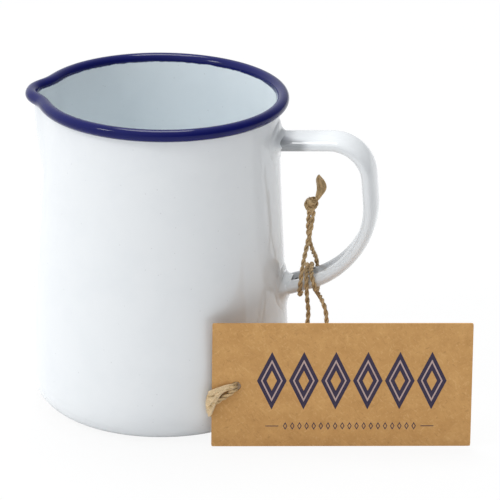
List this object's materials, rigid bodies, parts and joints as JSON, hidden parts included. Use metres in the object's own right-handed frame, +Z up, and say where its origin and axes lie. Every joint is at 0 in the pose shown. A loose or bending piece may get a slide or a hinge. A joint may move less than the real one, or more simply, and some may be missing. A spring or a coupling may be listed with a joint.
{
  "type": "enamelled pouring jug",
  "caption": "Tall enamelled steel pouring jug with a pinched spout, a rolled blue rim, a hollow strap handle and a swing tag tied on with twine.",
  "frame": {"origin": "centre of the flat base's underside, on the body's axis", "axes": "+Z up along the body's axis, +X towards the handle, which lies in the XZ plane"},
  "size_m": [0.1987, 0.1114, 0.143],
  "materials": {
    "steel": "fused low-carbon sheet, hidden under the enamel",
    "white_enamel": "glossy vitreous enamel",
    "blue_enamel": "glossy cobalt vitreous enamel",
    "card": "uncoated kraft card with flecks",
    "ink": "matt printing ink",
    "twine": "two-ply jute twine with loose fibres"
  },
  "bodies": {
    "root": {"body_shell": "white_enamel", "rim_bead": "blue_enamel", "upper_saddle": "white_enamel", "lower_saddle": "white_enamel", "weld_spots": "steel", "handle_strap": "white_enamel", "twine_left": "twine", "twine_right": "twine", "twine_knot": "twine", "twine_tail": "twine"},
    "tag": {"tag_card": "card", "tag_print": "ink", "tag_loop": "twine"}
  },
  "joints": [
    {"name": "tag_swing", "type": "hinge", "parent": "root", "child": "tag", "pos_m": [0.03127, -0.04952, 0.029], "axis": [0, 0, -1], "range_deg": [0, 110]}
  ]
}
